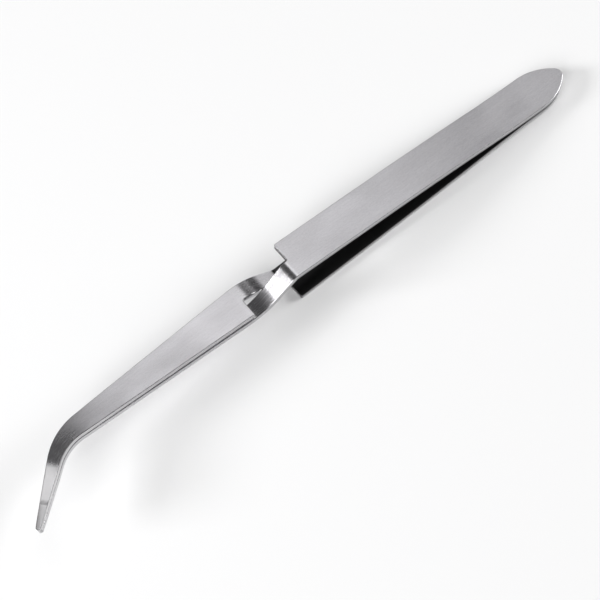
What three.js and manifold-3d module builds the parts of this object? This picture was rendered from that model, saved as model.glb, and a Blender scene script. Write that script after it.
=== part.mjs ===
// Reverse-action (cross-lock) tweezers for planting and trimming in aquariums.
// Two stamped stainless blades are welded together at the pointed rear end. Each blade is a
// handle leaf, a half-width neck that crosses to the other side, a tapering front blade and a
// slender tip bent sideways in the plane of the sheet. Squeezing the leaves opens the tips.
//
// The blades are drawn about their mid-plane (z = 0), with x from the rear end to the tips and
// the tips bent towards +y. The pair is then laid down on the lower leaf's straight finger face.
// Units are millimetres, +Z up.

import * as THREE from 'three';
import { mergeVertices } from 'three/addons/utils/BufferGeometryUtils.js';
import Module from 'manifold-3d';

// Sheet
const SHEET = 1.5;
const FACE_GAP = 0.3; // left between the two blades where they meet

// Side profile of a blade: lengths along the sheet, headings in degrees from the mid-plane
const TANG_LENGTH = 12;
const FLARE_LENGTH = 14;
const BOW_LENGTH = 36;
const FINGER_LENGTH = 25.4;
const LEAF_SLOPE_REAR = 5.35;
const LEAF_SLOPE_FRONT = 3;
const NECK_SLOPE = -38;
const SHOULDER_RADIUS = 2.6; // centre-line radius of the bend from leaf to neck
const KNEE_RADIUS = 13; // centre-line radius of the bend from neck to front blade
const JAW_OFFSET = 1.15; // front blade's centre line from the mid-plane, at the knee
const SETTLE_START = 136; // both front blades dip a little through the sideways bend
const SETTLE_END = 151.8;
const SETTLE = 0.6;

// Plan outline of a blade
const REAR_WIDTH = 10.3;
const LEAF_END_WIDTH = 9.6;
const ARCH_RADIUS = 15;
const APEX_RADIUS = 2;
const LEAF_CUT = 87.0;
const JAW_CUT = 99.6;
const SLOT_REAR_HALF = 0.2; // half the slot between the two necks, at the leaves
const SLOT_FRONT_HALF = 0.4; // and at the front blades
const SLOT_FILLET = 0.6;
const CORNER_RADIUS = 0.5;
const JAW_WIDTH = 8.5;
const BEND_START = 143.5;
const BEND_ANGLE = 43.5;
const BEND_RADIUS = 12;
const BEND_SHIFT = 0.4; // front blade's drift towards the bend's inner side
const BEND_START_WIDTH = 4.6;
const BEND_END_WIDTH = 3.0;
const TIP_LENGTH = 13.6;
const TIP_WIDTH = 1.1;

// Weld and flexure
const WELD_LENGTH = 5.2;
const WELD_HALF = 0.5;
const WELD_CLEARANCE = 0.3;
const FLEX_X = 26; // where a leaf bends when it is squeezed
const FLEX_GAP = 0.3;

const wasm = await Module();
wasm.setup();

function toSolid(geometry) {
  const bare = geometry.index ? geometry.toNonIndexed() : geometry.clone();
  bare.deleteAttribute('normal');
  bare.deleteAttribute('uv');
  const merged = mergeVertices(bare);
  return new wasm.Manifold(new wasm.Mesh({
    numProp: 3,
    vertProperties: new Float32Array(merged.attributes.position.array),
    triVerts: new Uint32Array(merged.index.array),
  }));
}

function toGeometry(solid) {
  const mesh = solid.getMesh();
  const geometry = new THREE.BufferGeometry();
  geometry.setAttribute('position', new THREE.BufferAttribute(mesh.vertProperties, 3));
  geometry.setIndex(new THREE.BufferAttribute(mesh.triVerts, 1));
  geometry.computeVertexNormals();
  return geometry;
}

function boxSolid(x0, x1, y0, y1, z0, z1) {
  const box = new THREE.BoxGeometry(x1 - x0, y1 - y0, z1 - z0);
  box.translate((x0 + x1) / 2, (y0 + y1) / 2, (z0 + z1) / 2);
  return toSolid(box);
}

// A closed polygon from corners { x, y, r }; a corner with r > 0 is rounded.
function roundedPolygon(corners) {
  const points = [];
  corners.forEach((corner, i) => {
    const here = new THREE.Vector2(corner.x, corner.y);
    if (!corner.r) {
      points.push(here);
      return;
    }
    const before = corners[(i + corners.length - 1) % corners.length];
    const after = corners[(i + 1) % corners.length];
    const start = new THREE.Vector2(before.x, before.y).sub(here).setLength(corner.r).add(here);
    const end = new THREE.Vector2(after.x, after.y).sub(here).setLength(corner.r).add(here);
    points.push(...new THREE.QuadraticBezierCurve(start, here, end).getPoints(5));
  });
  return new THREE.Shape(points);
}

// Side profile -----------------------------------------------------------------------------

// Centre line of the upper leaf's blade, as points { x, z, heading } along constant-curvature
// stretches. The neck is as long as it takes to reach the other side of the mid-plane.
function sheetLine() {
  const line = [{ x: -1, z: (SHEET + FACE_GAP) / 2, heading: 0 }];
  const run = (length, endHeading, steps) => {
    const startHeading = line[line.length - 1].heading;
    for (let i = 0; i < steps; i++) {
      const last = line[line.length - 1];
      const middle = startHeading + ((i + 0.5) / steps) * (endHeading - startHeading);
      const angle = THREE.MathUtils.degToRad(middle);
      line.push({
        x: last.x + (length / steps) * Math.cos(angle),
        z: last.z + (length / steps) * Math.sin(angle),
        heading: startHeading + ((i + 1) / steps) * (endHeading - startHeading),
      });
    }
  };
  const arcLength = (radius, turn) => radius * THREE.MathUtils.degToRad(Math.abs(turn));
  const reach = BEND_START + BEND_RADIUS + TIP_LENGTH - JAW_CUT;
  const jawSlope = THREE.MathUtils.radToDeg(
    Math.atan((JAW_OFFSET - (SHEET + FACE_GAP) / 2) / (reach - 6)));

  run(TANG_LENGTH + 1, 0, 1);
  run(FLARE_LENGTH, LEAF_SLOPE_REAR, 8);
  run(BOW_LENGTH, LEAF_SLOPE_FRONT, 10);
  run(FINGER_LENGTH, LEAF_SLOPE_FRONT, 1);
  run(arcLength(SHOULDER_RADIUS, NECK_SLOPE - LEAF_SLOPE_FRONT), NECK_SLOPE, 8);

  const kneeDrop = KNEE_RADIUS * (1 - Math.cos(THREE.MathUtils.degToRad(NECK_SLOPE)));
  const drop = line[line.length - 1].z + JAW_OFFSET - kneeDrop;
  run(drop / Math.sin(THREE.MathUtils.degToRad(-NECK_SLOPE)), NECK_SLOPE, 1);
  run(arcLength(KNEE_RADIUS, NECK_SLOPE - jawSlope), jawSlope, 8);
  run(SETTLE_START - line[line.length - 1].x, jawSlope, 1);
  run(SETTLE_END - SETTLE_START, jawSlope, 6);
  run(BEND_START + BEND_RADIUS + TIP_LENGTH - SETTLE_END, jawSlope, 1);
  return line;
}

// How far both front blades have dipped at x.
function settled(x) {
  const along = THREE.MathUtils.clamp((x - SETTLE_START) / (SETTLE_END - SETTLE_START), 0, 1);
  return SETTLE * along ** 2;
}

// The sheet as a wide ribbon: the centre line given its thickness, and extruded across y.
function ribbonSolid(faceSide) {
  const offset = (p, side) => {
    const angle = THREE.MathUtils.degToRad(p.heading);
    const x = p.x - side * (SHEET / 2) * Math.sin(angle);
    const z = p.z + side * (SHEET / 2) * Math.cos(angle);
    return new THREE.Vector2(x, faceSide * z - settled(p.x));
  };
  const line = sheetLine();
  const outer = line.map((p) => offset(p, 1));
  const inner = line.map((p) => offset(p, -1)).reverse();
  const ribbon = new THREE.ExtrudeGeometry(new THREE.Shape([...outer, ...inner]), {
    depth: 60,
    bevelEnabled: false,
  });
  ribbon.rotateX(Math.PI / 2);
  ribbon.translate(0, 30, 0);
  return toSolid(ribbon);
}

// Plan outline -----------------------------------------------------------------------------

const archDepth = Math.sqrt(
  (ARCH_RADIUS - APEX_RADIUS) ** 2 - (ARCH_RADIUS - REAR_WIDTH / 2) ** 2);
const ARCH_LENGTH = APEX_RADIUS + archDepth;

// Half of the pointed rear arch on one side, from its blunt apex to the leaf's full width.
function archEdge(side) {
  const corners = [];
  const centreY = ARCH_RADIUS - REAR_WIDTH / 2;
  const tangent = Math.atan2(centreY, archDepth);
  for (let i = side > 0 ? 0 : 1; i <= 4; i++) {
    const a = (i / 4) * tangent;
    corners.push({ x: APEX_RADIUS * (1 - Math.cos(a)), y: side * APEX_RADIUS * Math.sin(a) });
  }
  for (let i = 1; i <= 8; i++) {
    const a = tangent + (i / 8) * (Math.PI / 2 - tangent);
    corners.push({
      x: ARCH_LENGTH - ARCH_RADIUS * Math.cos(a),
      y: side * (ARCH_RADIUS * Math.sin(a) - centreY),
    });
  }
  return corners;
}

// From the leaf to the front blade along the side that carries the neck.
function neckEdge(side) {
  return [
    { x: LEAF_CUT, y: (side * LEAF_END_WIDTH) / 2 },
    { x: LEAF_CUT + 1.5, y: (side * LEAF_END_WIDTH) / 2 },
    { x: JAW_CUT, y: (side * JAW_WIDTH) / 2 },
  ];
}

// From the leaf to the front blade along the side that is cut back to clear the other neck.
function cutEdge(side) {
  return [
    { x: LEAF_CUT, y: (side * LEAF_END_WIDTH) / 2, r: CORNER_RADIUS },
    { x: LEAF_CUT, y: -side * SLOT_REAR_HALF, r: SLOT_FILLET },
    { x: JAW_CUT, y: -side * SLOT_FRONT_HALF, r: SLOT_FILLET },
    { x: JAW_CUT, y: (side * JAW_WIDTH) / 2, r: CORNER_RADIUS },
  ];
}

// Bend and tip along one side, ending at the rounded tip's shoulder.
function bendEdge(side) {
  const corners = [];
  const turn = THREE.MathUtils.degToRad(BEND_ANGLE);
  const steps = 12;
  for (let i = 0; i <= steps; i++) {
    const a = (i / steps) * turn;
    const width = THREE.MathUtils.lerp(BEND_START_WIDTH, BEND_END_WIDTH, i / steps);
    const radius = BEND_RADIUS - (side * width) / 2;
    corners.push({
      x: BEND_START + radius * Math.sin(a),
      y: BEND_SHIFT + BEND_RADIUS - radius * Math.cos(a),
    });
  }
  return corners;
}

function tipCap() {
  const turn = THREE.MathUtils.degToRad(BEND_ANGLE);
  const centre = {
    x: BEND_START + BEND_RADIUS * Math.sin(turn) + TIP_LENGTH * Math.cos(turn),
    y: BEND_SHIFT + BEND_RADIUS * (1 - Math.cos(turn)) + TIP_LENGTH * Math.sin(turn),
  };
  const corners = [];
  for (let i = 0; i <= 8; i++) {
    const a = turn + Math.PI / 2 - (i / 8) * Math.PI;
    corners.push({
      x: centre.x + (TIP_WIDTH / 2) * Math.cos(a),
      y: centre.y + (TIP_WIDTH / 2) * Math.sin(a),
    });
  }
  return corners;
}

function outlineSolid(neckSide) {
  const edge = (side) => [
    ...archEdge(side),
    ...(side === neckSide ? neckEdge(side) : cutEdge(side)),
    ...bendEdge(side),
  ];
  const outline = roundedPolygon([...edge(1), ...tipCap(), ...edge(-1).reverse()]);
  const plate = new THREE.ExtrudeGeometry(outline, { depth: 40, bevelEnabled: false });
  plate.translate(0, 0, -20);
  return toSolid(plate);
}

// Pieces -----------------------------------------------------------------------------------

const FAR = 200;

// One blade, cut at its flexure into the welded tang and the arm that swings.
function bladePieces(faceSide, neckSide) {
  const blade = ribbonSolid(faceSide).intersect(outlineSolid(neckSide));
  const weldPocket = boxSolid(
    -5, WELD_LENGTH + WELD_CLEARANCE, -20, 20,
    -WELD_HALF - WELD_CLEARANCE, WELD_HALF + WELD_CLEARANCE);
  const behind = boxSolid(-FAR, FLEX_X - FLEX_GAP / 2, -FAR, FAR, -FAR, FAR);
  const ahead = boxSolid(FLEX_X + FLEX_GAP / 2, FAR, -FAR, FAR, -FAR, FAR);
  return {
    tang: blade.intersect(behind).subtract(weldPocket),
    arm: blade.intersect(ahead),
  };
}

// The fused metal that joins the two tangs round the rear end, ground flush with them.
function weldSolid() {
  const slab = boxSolid(-5, WELD_LENGTH, -20, 20, -WELD_HALF, WELD_HALF);
  return outlineSolid(1).intersect(slab);
}

function steel(color, roughness) {
  return new THREE.MeshStandardMaterial({ color, roughness, metalness: 1 });
}

function addPiece(parent, name, solid, material) {
  const mesh = new THREE.Mesh(toGeometry(solid), material);
  mesh.name = name;
  parent.add(mesh);
}

const tweezers = new THREE.Group();
const pair = new THREE.Group();
tweezers.add(pair);

const upper = bladePieces(1, 1);
const lower = bladePieces(-1, -1);
addPiece(pair, 'upper_tang', upper.tang, steel(0xb4b2b8, 0.34));
addPiece(pair, 'lower_tang', lower.tang, steel(0xb4b2b8, 0.34));
addPiece(pair, 'end_weld', weldSolid(), steel(0xa8a6aa, 0.3));
addPiece(pair, 'upper_arm', upper.arm, steel(0xb4b2b8, 0.34));
addPiece(pair, 'lower_arm', lower.arm, steel(0xb4b2b8, 0.34));

// Lay the pair on the lower leaf's straight finger face, with the box's bottom centre at the
// origin.
pair.rotation.y = THREE.MathUtils.degToRad(-LEAF_SLOPE_FRONT);
pair.updateMatrixWorld(true);
const box = new THREE.Box3().setFromObject(pair, true);
pair.position.set(-(box.min.x + box.max.x) / 2, -(box.min.y + box.max.y) / 2, -box.min.z);

export default tweezers;
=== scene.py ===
import math

import bmesh
import bpy
from mathutils import Matrix, Quaternion, Vector


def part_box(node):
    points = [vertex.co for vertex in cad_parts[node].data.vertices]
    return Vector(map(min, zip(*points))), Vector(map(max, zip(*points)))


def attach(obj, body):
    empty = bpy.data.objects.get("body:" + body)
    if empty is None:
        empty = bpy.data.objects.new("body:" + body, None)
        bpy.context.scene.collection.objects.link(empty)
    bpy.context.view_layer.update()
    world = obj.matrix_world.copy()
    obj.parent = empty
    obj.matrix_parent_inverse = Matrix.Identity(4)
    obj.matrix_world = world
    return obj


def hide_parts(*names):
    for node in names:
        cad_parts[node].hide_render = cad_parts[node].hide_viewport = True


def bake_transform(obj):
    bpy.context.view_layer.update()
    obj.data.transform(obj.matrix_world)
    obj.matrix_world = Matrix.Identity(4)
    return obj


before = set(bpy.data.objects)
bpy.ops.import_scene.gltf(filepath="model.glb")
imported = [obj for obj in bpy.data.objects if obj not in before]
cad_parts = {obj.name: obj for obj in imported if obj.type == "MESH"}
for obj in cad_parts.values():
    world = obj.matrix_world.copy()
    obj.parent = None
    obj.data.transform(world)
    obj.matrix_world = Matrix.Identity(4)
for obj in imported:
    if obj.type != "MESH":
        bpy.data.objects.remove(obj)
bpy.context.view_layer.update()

# Sizes in millimetres, in the blades' own frame: x from the rear end to the tips, the blades'
# mid-plane at z = 0, and the tips bent towards +y.
MM = 0.001
SHEET = 1.5
FACE_GAP = 0.05  # 0.3 between the solids, which may not touch
EDGE_RADIUS = 0.15
EDGE_STEPS = 4
EDGE_MARGIN = 0.12
FACE_TOLERANCE = 1e-4

# Side profile.
LEAF_Z = 0.9
TANG_LENGTH = 12.0
FLARE_LENGTH = 14.0
BOW_LENGTH = 36.0
FINGER_LENGTH = 25.4
FINGER_PROBE = 10.0
SLOPE_REAR = 5.35
SLOPE_FRONT = 3.0
NECK_SLOPE = -38.0
SHOULDER_RADIUS = 2.6
KNEE_RADIUS = 13.0
KNEE_REACH = 6.0
JAW_OFFSET = 1.15
SEAT_LENGTH = 14.0
SEAT_END = 24.0
# The front blades dip through the sideways bend. It starts later than on the solids, which puts
# the bend's dark band where the photograph has it.
SETTLE_START = 140.0
SETTLE_END = 152.6
SETTLE = 0.6

# Plan outline.
REAR_WIDTH = 10.3
LEAF_END_WIDTH = 9.6
ARCH_RADIUS = 15.0
APEX_RADIUS = 2.0
APEX_STEPS = 8
LEAF_CUT = 87.0
NECK_LEAD = 1.5
JAW_CUT = 99.6
SLOT_REAR_HALF = 0.2
SLOT_FRONT_HALF = 0.4
SLOT_FILLET = 0.6
CORNER_RADIUS = 0.55
CORNER_STEPS = 7
MITRE_LIMIT = 0.5
JAW_WIDTH = 8.5
BEND_START = 143.5
BEND_TURN = math.radians(43.5)
BEND_RADIUS = 12.0
BEND_STEPS = 26
BEND_SHIFT = 0.4
BEND_START_WIDTH = 4.6
BEND_END_WIDTH = 3.0
TIP_LENGTH = 13.6
TIP_WIDTH = 1.1

BEND_CENTRE_Y = BEND_SHIFT + BEND_RADIUS
BEND_END = BEND_START + BEND_RADIUS * BEND_TURN
PATH_END = BEND_END + TIP_LENGTH + TIP_WIDTH / 2

# Working of the tips.
TIP_TAPER = 0.08
TIP_GRID_STEP = 0.125
TIP_GRID_ROWS = 42
TIP_GRID_ACROSS = 0.14
WORKED_LENGTH = 5.2
GRIND_LENGTH = 5.0
GRIND_SLOPE = 0.06
GRIND_CROWN = 0.06
GRIND_SOFTNESS = 0.05
SERRATION_LENGTH = 4.0
SERRATION_PITCH = 0.5
SERRATION_DEPTH = 0.11
SERRATION_REACH = 0.12

# Finish along the blade, with painted shade on the sheared ends and a painted highlight on the
# tip.
GROUND_START = BEND_END + 0.8
TIP_POLISH = 0.1
NECK_POLISH = 0.8
NECK_POLISH_START = 87.4
NECK_POLISH_END = 101.0
NECK_POLISH_FADE = 2.0
BEND_POLISH_LEAD = 3.0
BEND_POLISH_LENGTH = 9.0
# Painted shade on the sheared ends: how far from each cut it reaches and how dark it is.
SHEARED_REACH = 0.3
SHEARED_PAINTED_SHADE = 0.8
BRUSHING_SCALE = 10.0

# Weld band: its cross section is (outwards, up) from the blades' edge.
WELD_LENGTH = 5.2
WELD_OVERRUN = 0.4
WELD_HALF = 0.5
WELD_SECTION = [
    (-0.05, -0.42), (0.015, -0.3), (0.035, -0.12), (0.035, 0.12),
    (0.015, 0.3), (-0.05, 0.42), (-0.45, 0.2), (-0.45, -0.2),
]


def clamped(value):
    return min(max(value, 0.0), 1.0)


# Side profile ---------------------------------------------------------------------------------

def sheet_line():
    """Stations (x, z, heading in radians, length along the sheet) of the upper leaf's blade."""
    line = [(-1.0, LEAF_Z, 0.0, -1.0)]

    def run(length, end_slope, steps):
        start = line[-1][2]
        end = math.radians(end_slope)
        for i in range(steps):
            x, z, _, s = line[-1]
            middle = start + (i + 0.5) / steps * (end - start)
            step = length / steps
            heading = start + (i + 1) / steps * (end - start)
            line.append((
                x + step * math.cos(middle), z + step * math.sin(middle), heading, s + step))

    def arc(radius, turn):
        return radius * math.radians(abs(turn))

    reach = BEND_START + BEND_RADIUS + TIP_LENGTH - JAW_CUT
    jaw_rise = JAW_OFFSET - (SHEET + FACE_GAP) / 2
    jaw_slope = math.degrees(math.atan(jaw_rise / (reach - KNEE_REACH)))
    run(TANG_LENGTH + 1, 0, 4)
    run(FLARE_LENGTH, SLOPE_REAR, 10)
    run(BOW_LENGTH, SLOPE_FRONT, 24)
    run(FINGER_LENGTH, SLOPE_FRONT, 3)
    run(arc(SHOULDER_RADIUS, NECK_SLOPE - SLOPE_FRONT), NECK_SLOPE, 14)
    knee_drop = KNEE_RADIUS * (1 - math.cos(math.radians(NECK_SLOPE)))
    drop = line[-1][1] + JAW_OFFSET - knee_drop
    run(drop / math.sin(math.radians(-NECK_SLOPE)), NECK_SLOPE, 2)
    run(arc(KNEE_RADIUS, NECK_SLOPE - jaw_slope), jaw_slope, 14)
    run(SETTLE_START - line[-1][0], jaw_slope, 6)
    run(SETTLE_END - SETTLE_START, jaw_slope, 14)
    run(BEND_START + BEND_RADIUS + TIP_LENGTH - SETTLE_END, jaw_slope, 4)
    return line


LINE = sheet_line()


def on_sheet(x):
    """The centre line's (z, heading, length) at x."""
    for a, b in zip(LINE, LINE[1:]):
        if x <= b[0]:
            break
    f = (x - a[0]) / (b[0] - a[0])
    return tuple(a[k] + f * (b[k] - a[k]) for k in (1, 2, 3))


def seat(x):
    """How far a blade settles onto the other one at the weld, where the solids keep a gap."""
    f = clamped((SEAT_END - x) / SEAT_LENGTH)
    return (LEAF_Z - (SHEET + FACE_GAP) / 2) * f * f * (3 - 2 * f)


def settled(x):
    """How far both front blades have dipped at x."""
    f = clamped((x - SETTLE_START) / (SETTLE_END - SETTLE_START))
    return SETTLE * f * f


def bend_sheet(x, y, w, face_side):
    """The point of a blade that lies at (x, y) in plan and w above the sheet's middle."""
    z, heading, _ = on_sheet(x)
    return Vector((
        x - w * math.sin(heading),
        y,
        face_side * (z - seat(x) + w * math.cos(heading)) - settled(x),
    ))


# Plan outline ---------------------------------------------------------------------------------

ARCH_DEPTH = math.sqrt((ARCH_RADIUS - APEX_RADIUS) ** 2 - (ARCH_RADIUS - REAR_WIDTH / 2) ** 2)
ARCH_LENGTH = APEX_RADIUS + ARCH_DEPTH


def arch_edge(side, steps=22):
    centre_y = ARCH_RADIUS - REAR_WIDTH / 2
    tangent = math.atan2(centre_y, ARCH_DEPTH)
    points = []
    for i in range(0 if side > 0 else 1, APEX_STEPS + 1):
        a = i / APEX_STEPS * tangent
        points.append((APEX_RADIUS * (1 - math.cos(a)), side * APEX_RADIUS * math.sin(a), 0))
    for i in range(1, steps + 1):
        a = tangent + i / steps * (math.pi / 2 - tangent)
        x = ARCH_LENGTH - ARCH_RADIUS * math.cos(a)
        points.append((x, side * (ARCH_RADIUS * math.sin(a) - centre_y), 0))
    return points


def neck_edge(side):
    return [
        (LEAF_CUT, side * LEAF_END_WIDTH / 2, 0),
        (LEAF_CUT + NECK_LEAD, side * LEAF_END_WIDTH / 2, 0),
        (JAW_CUT, side * JAW_WIDTH / 2, 0),
    ]


def cut_edge(side):
    return [
        (LEAF_CUT, side * LEAF_END_WIDTH / 2, CORNER_RADIUS),
        (LEAF_CUT, -side * SLOT_REAR_HALF, SLOT_FILLET),
        (JAW_CUT, -side * SLOT_FRONT_HALF, SLOT_FILLET),
        (JAW_CUT, side * JAW_WIDTH / 2, CORNER_RADIUS),
    ]


def bend_edge(side):
    points = []
    for i in range(BEND_STEPS + 1):
        a = i / BEND_STEPS * BEND_TURN
        width = BEND_START_WIDTH + i / BEND_STEPS * (BEND_END_WIDTH - BEND_START_WIDTH)
        radius = BEND_RADIUS - side * width / 2
        points.append((BEND_START + radius * math.sin(a), BEND_CENTRE_Y - radius * math.cos(a), 0))
    return points


def tip_centre():
    return Vector((
        BEND_START + BEND_RADIUS * math.sin(BEND_TURN) + TIP_LENGTH * math.cos(BEND_TURN),
        BEND_CENTRE_Y - BEND_RADIUS * math.cos(BEND_TURN) + TIP_LENGTH * math.sin(BEND_TURN),
    ))


def tip_cap(steps=14):
    centre = tip_centre()
    points = []
    for i in range(steps + 1):
        a = BEND_TURN + math.pi / 2 - i / steps * math.pi
        points.append((
            centre.x + TIP_WIDTH / 2 * math.cos(a),
            centre.y + TIP_WIDTH / 2 * math.sin(a),
            0,
        ))
    return points


def rounded(corners):
    """The corners (x, y, r) as plain points, each with r > 0 turned into a small curve."""
    points = []
    for i, (x, y, r) in enumerate(corners):
        here = Vector((x, y))
        if not r:
            points.append(here)
            continue
        before = Vector(corners[i - 1][:2])
        after = Vector(corners[(i + 1) % len(corners)][:2])
        start = here + (before - here).normalized() * r
        end = here + (after - here).normalized() * r
        for k in range(CORNER_STEPS + 1):
            f = k / CORNER_STEPS
            points.append(start * (1 - f) ** 2 + here * 2 * f * (1 - f) + end * f * f)
    return points


def outline(neck_side):
    """The blade's outline in plan, clockwise from the rear apex."""
    def edge(side):
        middle = neck_edge(side) if side == neck_side else cut_edge(side)
        return arch_edge(side) + middle + bend_edge(side)

    return rounded(edge(1) + tip_cap() + edge(-1)[::-1])


def inset(points, distance):
    """The clockwise outline moved inwards by distance."""
    moved = []
    count = len(points)
    for i, here in enumerate(points):
        ahead = (points[(i + 1) % count] - here).normalized()
        behind = (here - points[i - 1]).normalized()
        normals = [Vector((d.y, -d.x)) for d in (behind, ahead)]
        middle = (normals[0] + normals[1]).normalized()
        moved.append(here + middle * distance / max(middle.dot(normals[0]), MITRE_LIMIT))
    return moved


def along_blade(x, y):
    """(distance along the blade's path, distance across it) of a point in plan."""
    a = math.atan2(x - BEND_START, BEND_CENTRE_Y - y)
    if x <= BEND_START or a <= 0:
        drift = clamped((x - JAW_CUT) / (BEND_START - JAW_CUT))
        return x, y - BEND_SHIFT * drift
    if a < BEND_TURN:
        radius = math.hypot(x - BEND_START, BEND_CENTRE_Y - y)
        return BEND_START + BEND_RADIUS * a, BEND_RADIUS - radius
    direction = Vector((math.cos(BEND_TURN), math.sin(BEND_TURN)))
    offset = Vector((x, y)) - tip_centre()
    s = PATH_END - TIP_WIDTH / 2 + offset.dot(direction)
    return s, direction.x * offset.y - direction.y * offset.x


# Blades ---------------------------------------------------------------------------------------

def edge_levels():
    """(inset, height) of the rings round the sheet's rounded edge, from top face to bottom."""
    flat = SHEET / 2
    top = [(EDGE_RADIUS + EDGE_MARGIN, flat)]
    for i in range(EDGE_STEPS + 1):
        a = math.pi / 2 * (1 - i / EDGE_STEPS)
        top.append((EDGE_RADIUS * (1 - math.cos(a)), flat - EDGE_RADIUS * (1 - math.sin(a))))
    return top + [(d, -w) for d, w in reversed(top)]


def flat_blade(neck_side):
    """The blade as a flat plate with rounded edges."""
    bm = bmesh.new()
    edge = outline(neck_side)
    rings = []
    for distance, height in edge_levels():
        ring = inset(edge, distance)
        rings.append([bm.verts.new((p.x, p.y, height)) for p in ring])
    for upper, lower in zip(rings, rings[1:]):
        for i in range(len(upper)):
            k = (i + 1) % len(upper)
            bm.faces.new((upper[i], upper[k], lower[k], lower[i]))
    bm.faces.new(rings[0])
    bm.faces.new(rings[-1])
    bmesh.ops.recalc_face_normals(bm, faces=bm.faces)
    return bm


def slice_at(bm, faces, point, normal):
    edges = {e for f in faces for e in f.edges}
    verts = {v for f in faces for v in f.verts}
    bmesh.ops.bisect_plane(
        bm, geom=list(faces) + list(edges) + list(verts), dist=1e-5,
        plane_co=point, plane_no=normal)


def tip_faces(bm, length):
    """The faces that lie wholly within that length of the tip's end."""
    def inside(v):
        return v.co.x > BEND_START and along_blade(v.co.x, v.co.y)[0] > PATH_END - length - 1e-3

    return [face for face in bm.faces if all(inside(v) for v in face.verts)]


def slice_blade(bm):
    """Cuts where the sheet bends and where its finish changes, and a fine grid over the tips."""
    stations = [x for x, _, _, _ in LINE] + [NECK_POLISH_END - 1, NECK_POLISH_END]
    for x in stations:
        if 0.5 < x < BEND_START - 0.1:
            slice_at(bm, bm.faces, (x, 0, 0), (1, 0, 0))
    slice_at(bm, bm.faces, (BEND_START, 0, 0), (1, 0, 0))
    for i in range(BEND_STEPS):
        a = (i + 0.5) / BEND_STEPS * BEND_TURN
        slice_at(bm, bm.faces, (BEND_START, BEND_CENTRE_Y, 0), (math.cos(a), math.sin(a), 0))
    along = Vector((math.cos(BEND_TURN), math.sin(BEND_TURN), 0))
    across = Vector((-along.y, along.x, 0))
    end = tip_centre().to_3d() + along * TIP_WIDTH / 2
    fine = [TIP_GRID_STEP * i for i in range(1, TIP_GRID_ROWS + 1)]
    coarse = [6.2 + 1.1 * i for i in range(8)]
    for length in fine + coarse:
        slice_at(bm, bm.faces, end - along * length, along)
    for i in range(-6, 7):
        slice_at(bm, tip_faces(bm, fine[-1]), end + across * TIP_GRID_ACROSS * i, across)


def worked_height(s, d, w):
    """The sheet's surface height after the tip is ground outside and serrated inside."""
    left = PATH_END - s
    if left > WORKED_LENGTH:
        return w
    if w < 0:
        half = TIP_WIDTH / 2 + TIP_TAPER * left
        crown = GRIND_CROWN * min(abs(d) / half, 1.0) ** 2
        limit = SHEET / 2 - max(GRIND_SLOPE * (GRIND_LENGTH - left) + crown, 0.0)
        gap = (-w - limit) / GRIND_SOFTNESS
        if gap >= 30:
            return -limit
        return -(limit + GRIND_SOFTNESS * (gap - math.log1p(math.exp(gap))))
    if w > SHEET / 2 - SERRATION_REACH and 0.2 < left < SERRATION_LENGTH:
        phase = (left / SERRATION_PITCH) % 1.0
        return w - SERRATION_DEPTH * (1 - abs(2 * phase - 1))
    return w


def on_face(w):
    """Whether the height w is on one of the sheet's two flat faces."""
    return abs(w) > SHEET / 2 - FACE_TOLERANCE


def painted_shade_amount(x, y, w, neck_side):
    """Painted shade: near black on the leaf's face against the other blade, a little less on the
    sheared ends.
    """
    if w < -0.5 and x < LEAF_CUT + NECK_LEAD:
        return 1.0
    at_cut = min(abs(x - LEAF_CUT), abs(x - JAW_CUT)) < SHEARED_REACH
    return SHEARED_PAINTED_SHADE if at_cut and y * neck_side < 0.5 and not on_face(w) else 0.0


def polish_share(x, s):
    """Where forming and grinding left the sheet smoother: the necks, the bend and the tip."""
    if s > GROUND_START:
        return TIP_POLISH
    if x > BEND_START - BEND_POLISH_LEAD:
        return clamped((s - BEND_START + BEND_POLISH_LEAD) / BEND_POLISH_LENGTH)
    fade_out = (NECK_POLISH_END - x) / NECK_POLISH_FADE
    return NECK_POLISH * clamped(min(x - NECK_POLISH_START, fade_out))


def blade_mesh(name, face_side, neck_side):
    bm = flat_blade(neck_side)
    slice_blade(bm)
    uv = bm.loops.layers.uv.new("brushing")
    path = bm.verts.layers.float_vector.new("path")
    rim = bm.verts.layers.float.new("rim")
    # Painted shade on the leaf's face against the other blade and on the sheared ends.
    painted_shade_mask = bm.verts.layers.float.new("painted_shade_mask")
    polish = bm.verts.layers.float.new("polish")
    # Painted highlight: the tip beyond the bend is painted near white.
    painted_tip_highlight = bm.verts.layers.float.new("painted_tip_highlight")
    for v in bm.verts:
        x, y, w = v.co
        s, d = along_blade(x, y)
        v[path] = Vector((s, d, w))
        v[rim] = 0.0 if on_face(w) else 1.0
        v[painted_shade_mask] = painted_shade_amount(x, y, w, neck_side)
        v[polish] = polish_share(x, s)
        v[painted_tip_highlight] = 1.0 if s > GROUND_START else 0.0
        v.co = bend_sheet(x, y, worked_height(s, d, w), face_side)
    for face in bm.faces:
        face.smooth = True
        for loop in face.loops:
            s, d, _ = loop.vert[path]
            loop[uv].uv = (d / BRUSHING_SCALE, s / BRUSHING_SCALE)
    if face_side < 0:
        bmesh.ops.reverse_faces(bm, faces=bm.faces)
    mesh = bpy.data.meshes.new(name)
    bm.to_mesh(mesh)
    bm.free()
    return mesh


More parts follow.
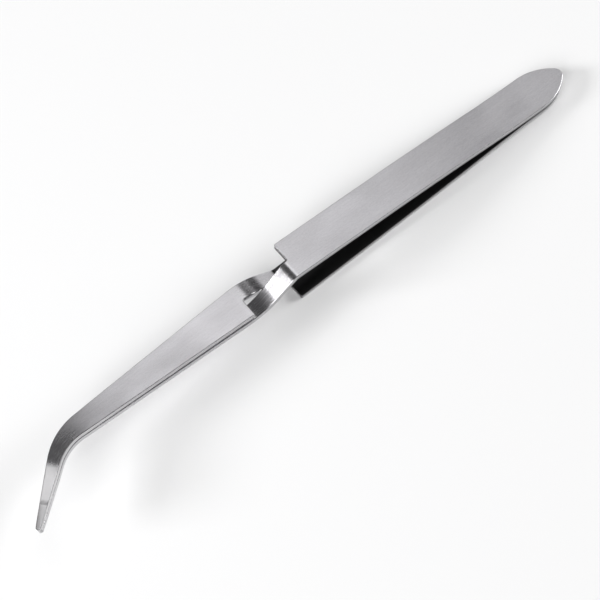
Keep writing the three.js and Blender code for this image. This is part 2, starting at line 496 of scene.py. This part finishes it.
def lay_down():
    """From the blades' own frame to the row's: the pair lies on the lower leaf's finger face."""
    turn = Matrix.Rotation(math.radians(-SLOPE_FRONT), 4, "Y")
    finger = BOW_LENGTH + FLARE_LENGTH + TANG_LENGTH + FINGER_PROBE
    z, heading, _ = on_sheet(finger)
    face = turn @ Vector((
        finger - SHEET / 2 * math.sin(heading), 0, -z - SHEET / 2 * math.cos(heading)))
    low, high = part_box("end_weld")
    rear = turn @ Vector((0, 0, WELD_HALF))
    place = Vector((low.x / MM - rear.x, (low.y + high.y) / 2 / MM, -face.z))
    return Matrix.Scale(MM, 4) @ Matrix.Translation(place) @ turn


LAY = lay_down()


def add_object(name, mesh, material):
    mesh.transform(LAY)
    mesh.materials.append(material)
    piece = bpy.data.objects.new(name, mesh)
    bpy.context.scene.collection.objects.link(piece)
    return piece


def weld_mesh(name):
    """The ground weld: a barely crowned band round the rear end that bridges the two sheets."""
    path = [Vector((p[0], p[1])) for p in arch_edge(-1)[::-1] + arch_edge(1)]
    path = [p for p in path if p.x < WELD_LENGTH + WELD_OVERRUN]
    bm = bmesh.new()
    uv = bm.loops.layers.uv.new("brushing")
    path_layer = bm.verts.layers.float_vector.new("path")
    rings = []
    for i, here in enumerate(path):
        ahead = path[min(i + 1, len(path) - 1)]
        behind = path[max(i - 1, 0)]
        run = (ahead - behind).normalized()
        out = Vector((-run.y, run.x))
        fade = min(i, len(path) - 1 - i, 3) / 3
        ring = []
        for outward, height in WELD_SECTION:
            p = here + out * (outward * (0.4 + 0.6 * fade) - 0.03 * (1 - fade))
            v = bm.verts.new((p.x, p.y, height * (0.25 + 0.75 * fade)))
            v[path_layer] = Vector((i * 0.6, height, outward))
            ring.append(v)
        rings.append(ring)
    for a, b in zip(rings, rings[1:]):
        for i in range(len(WELD_SECTION)):
            k = (i + 1) % len(WELD_SECTION)
            bm.faces.new((a[i], a[k], b[k], b[i]))
    bm.faces.new(rings[0])
    bm.faces.new(rings[-1][::-1])
    bmesh.ops.recalc_face_normals(bm, faces=bm.faces)
    for face in bm.faces:
        face.smooth = True
        for loop in face.loops:
            s, d, _ = loop.vert[path_layer]
            loop[uv].uv = (d / BRUSHING_SCALE, s / BRUSHING_SCALE)
    mesh = bpy.data.meshes.new(name)
    bm.to_mesh(mesh)
    bm.free()
    return mesh


# Materials ------------------------------------------------------------------------------------

class Nodes:
    """A material's node tree, with short calls for the nodes used here."""

    def __init__(self, name):
        self.material = bpy.data.materials.new(name)
        self.material.use_nodes = True
        self.tree = self.material.node_tree
        self.shader = self.tree.nodes["Principled BSDF"]

    def add(self, kind, inputs=(), **settings):
        node = self.tree.nodes.new(kind)
        for key, value in settings.items():
            setattr(node, key, value)
        for key, value in dict(inputs).items():
            if hasattr(value, "is_output"):
                self.tree.links.new(value, node.inputs[key])
            else:
                node.inputs[key].default_value = value
        return node

    def attribute(self, name):
        return self.add("ShaderNodeAttribute", attribute_name=name)

    def maths(self, operation, a, b):
        return self.add("ShaderNodeMath", {0: a, 1: b}, operation=operation).outputs[0]

    def stretch(self, vector, scale):
        node = self.add("ShaderNodeVectorMath", {0: vector, 1: scale}, operation="MULTIPLY")
        return node.outputs[0]

    def noise(self, vector, detail, roughness):
        node = self.add("ShaderNodeTexNoise", {
            "Vector": vector, "Scale": 1.0, "Detail": detail, "Roughness": roughness})
        return node.outputs["Fac"]

    def remap(self, value, low, high, to_low, to_high):
        node = self.add("ShaderNodeMapRange", {
            "Value": value, "From Min": low, "From Max": high,
            "To Min": to_low, "To Max": to_high})
        return node.outputs["Result"]

    def mix_colour(self, factor, a, b):
        node = self.add("ShaderNodeMix", data_type="RGBA")
        for index, value in ((0, factor), (6, a), (7, b)):
            if hasattr(value, "is_output"):
                self.tree.links.new(value, node.inputs[index])
            else:
                node.inputs[index].default_value = value
        return node.outputs[2]

    def out(self, key, value):
        if hasattr(value, "is_output"):
            self.tree.links.new(value, self.shader.inputs[key])
        else:
            self.shader.inputs[key].default_value = value


def blade_steel():
    """Stainless sheet brushed along the blade, smoother on its rim, necks and bend, with painted
    shade on the rim, the sheared ends and the leaf's face against the other blade, and a painted
    highlight on the tip.
    """
    n = Nodes("brushed_blade_steel")
    path = n.attribute("path").outputs["Vector"]
    rim = n.attribute("rim").outputs["Fac"]
    painted_shade_mask = n.attribute("painted_shade_mask").outputs["Fac"]
    polish = n.attribute("polish").outputs["Fac"]
    painted_tip_highlight = n.attribute("painted_tip_highlight").outputs["Fac"]
    fine = n.noise(n.stretch(path, (0.9, 8.0, 3.0)), 4.0, 0.65)
    coarse = n.noise(n.stretch(path, (0.08, 2.4, 1.0)), 3.0, 0.6)
    grain = n.noise(n.stretch(path, (2.6, 5.5, 4.0)), 3.0, 0.65)
    cloud = n.noise(n.stretch(path, (0.07, 0.16, 0.2)), 2.0, 0.5)
    scratch = n.noise(n.stretch(path, (0.12, 26.0, 2.0)), 1.0, 0.5)
    lines = n.maths("GREATER_THAN", scratch, 0.71)

    streaks = n.maths("ADD", n.maths("MULTIPLY", fine, 0.4), n.maths("MULTIPLY", coarse, 0.16))
    streaks = n.maths("ADD", streaks, n.maths("MULTIPLY", grain, 0.44))
    tone = n.remap(streaks, 0.38, 0.62, 0.0, 1.0)
    face = n.mix_colour(tone, (0.56, 0.55, 0.575, 1), (0.76, 0.75, 0.775, 1))
    face = n.mix_colour(n.remap(cloud, 0.35, 0.65, 0.0, 0.22), face, (0.6, 0.585, 0.6, 1))
    # Painted highlight: the tip beyond the bend is painted near white.
    face = n.mix_colour(painted_tip_highlight, face, (0.97, 0.96, 0.975, 1))
    # Painted shade: near black on the leaf's face against the other blade and on the sheared ends.
    face = n.mix_colour(n.maths("MULTIPLY", painted_shade_mask, 0.94), face, (0.02, 0.02, 0.02, 1))
    # Painted shade on the rounded rim: a darker grey, faded out where the near-black painted shade
    # lies.
    edge = n.maths("MULTIPLY", rim, n.remap(painted_shade_mask, 0.0, 1.0, 0.8, 0.1))
    colour = n.mix_colour(edge, face, (0.5, 0.495, 0.505, 1))
    n.out("Base Color", colour)
    n.out("Metallic", 1.0)

    rough = n.remap(streaks, 0.35, 0.65, 0.34, 0.46)
    rough = n.maths("ADD", rough, n.remap(cloud, 0.3, 0.7, -0.03, 0.05))
    rough = n.maths("SUBTRACT", rough, n.maths("MULTIPLY", rim, 0.12))
    rough = n.maths("SUBTRACT", rough, n.maths("MULTIPLY", polish, 0.2))
    rough = n.maths("ADD", rough, n.maths("MULTIPLY", lines, 0.08))
    n.out("Roughness", rough)
    n.out("Anisotropic", 0.75)
    tangent = n.add("ShaderNodeTangent", direction_type="UV_MAP", uv_map="brushing")
    n.out("Tangent", tangent.outputs[0])

    height = n.maths("SUBTRACT", streaks, n.maths("MULTIPLY", lines, 0.3))
    height = n.maths("MULTIPLY", height, n.remap(polish, 0.0, 1.0, 1.0, 0.25))
    bump = n.add("ShaderNodeBump", {"Strength": 0.22, "Distance": 0.00002, "Height": height})
    n.out("Normal", bump.outputs["Normal"])
    return n.material


def weld_steel():
    """Ground and polished weld metal, with a faint straw tint from the heat."""
    n = Nodes("ground_weld_steel")
    path = n.attribute("path").outputs["Vector"]
    marks = n.noise(n.stretch(path, (9.0, 2.0, 2.0)), 3.0, 0.6)
    tint = n.noise(n.stretch(path, (0.35, 1.0, 1.0)), 2.0, 0.5)
    tone = n.remap(marks, 0.35, 0.65, 0.0, 1.0)
    colour = n.mix_colour(tone, (0.6, 0.59, 0.59, 1), (0.76, 0.75, 0.75, 1))
    colour = n.mix_colour(n.remap(tint, 0.45, 0.7, 0.0, 0.35), colour, (0.6, 0.52, 0.42, 1))
    n.out("Base Color", colour)
    n.out("Metallic", 1.0)
    n.out("Roughness", n.remap(marks, 0.3, 0.7, 0.24, 0.36))
    bump = n.add("ShaderNodeBump", {"Strength": 0.25, "Distance": 0.00002, "Height": marks})
    n.out("Normal", bump.outputs["Normal"])
    return n.material


def floor_paper():
    n = Nodes("floor_paper")
    n.out("Base Color", (0.88, 0.88, 0.882, 1))
    n.out("Roughness", 0.9)
    n.out("Specular IOR Level", 0.1)
    return n.material


# Pieces ---------------------------------------------------------------------------------------

steel = blade_steel()

for level, face_side, neck_side in (("upper", 1, 1), ("lower", -1, -1)):
    blade = add_object(
        f"{level}_blade_strip", blade_mesh(f"{level}_blade_strip", face_side, neck_side), steel)
    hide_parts(f"{level}_tang", f"{level}_arm")
    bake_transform(blade)

weld = add_object("rear_weld", weld_mesh("rear_weld"), weld_steel())
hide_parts("end_weld")
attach(weld, "welded_end")


# Stage ----------------------------------------------------------------------------------------

def add_floor():
    size = 3.0
    mesh = bpy.data.meshes.new("floor")
    corners = [(-size, -size, 0), (size, -size, 0), (size, size, 0), (-size, size, 0)]
    mesh.from_pydata(corners, [], [(0, 1, 2, 3)])
    mesh.materials.append(floor_paper())
    floor = bpy.data.objects.new("floor", mesh)
    bpy.context.scene.collection.objects.link(floor)


def add_light(name, place, target, size, power):
    data = bpy.data.lights.new(name, "AREA")
    data.shape = "RECTANGLE"
    data.size, data.size_y = size
    data.energy = power
    light = bpy.data.objects.new(name, data)
    light.location = place
    light.rotation_euler = (Vector(target) - Vector(place)).to_track_quat("-Z", "Y").to_euler()
    bpy.context.scene.collection.objects.link(light)


def add_world():
    world = bpy.data.worlds.new("studio")
    world.use_nodes = True
    background = world.node_tree.nodes["Background"]
    background.inputs["Color"].default_value = (1.0, 1.0, 1.0, 1)
    background.inputs["Strength"].default_value = 0.08
    bpy.context.scene.world = world


def add_camera():
    target = Vector((0.00016, 0.00027, 0.00597))
    azimuth, elevation = math.radians(145.5), math.radians(64.4)
    back = Vector((
        math.sin(azimuth) * math.cos(elevation),
        -math.cos(azimuth) * math.cos(elevation),
        math.sin(elevation),
    ))
    data = bpy.data.cameras.new("camera")
    data.sensor_width = 36
    data.lens = 63.8
    data.shift_x, data.shift_y = -0.0334, -0.0475
    data.clip_start, data.clip_end = 0.01, 20
    camera = bpy.data.objects.new("camera", data)
    camera.location = target + back * 0.2398
    aim = (-back).to_track_quat("-Z", "Y")
    camera.rotation_euler = (aim @ Quaternion((0, 0, 1), math.radians(-5.8))).to_euler()
    bpy.context.scene.collection.objects.link(camera)
    bpy.context.scene.camera = camera


add_floor()
add_world()
add_light("overhead_rear", (-0.525, -0.25, 0.84), (-0.525, 0, 0), (0.39, 0.8), 1.08)
add_light("overhead_front", (-0.175, -0.25, 0.84), (-0.175, 0, 0), (0.31, 0.8), 1.34)
add_light("key", (1.02, -0.45, 0.4), (0, 0, 0), (0.36, 0.26), 11.5)
add_light("right_fill", (1.0, 0.35, 0.7), (0, 0, 0), (0.7, 0.7), 9.0)
add_light("left_fill", (-1.2, 0.3, 0.5), (0, 0, 0), (0.7, 0.6), 13.0)
add_camera()
bpy.context.scene.view_settings.view_transform = "Standard"
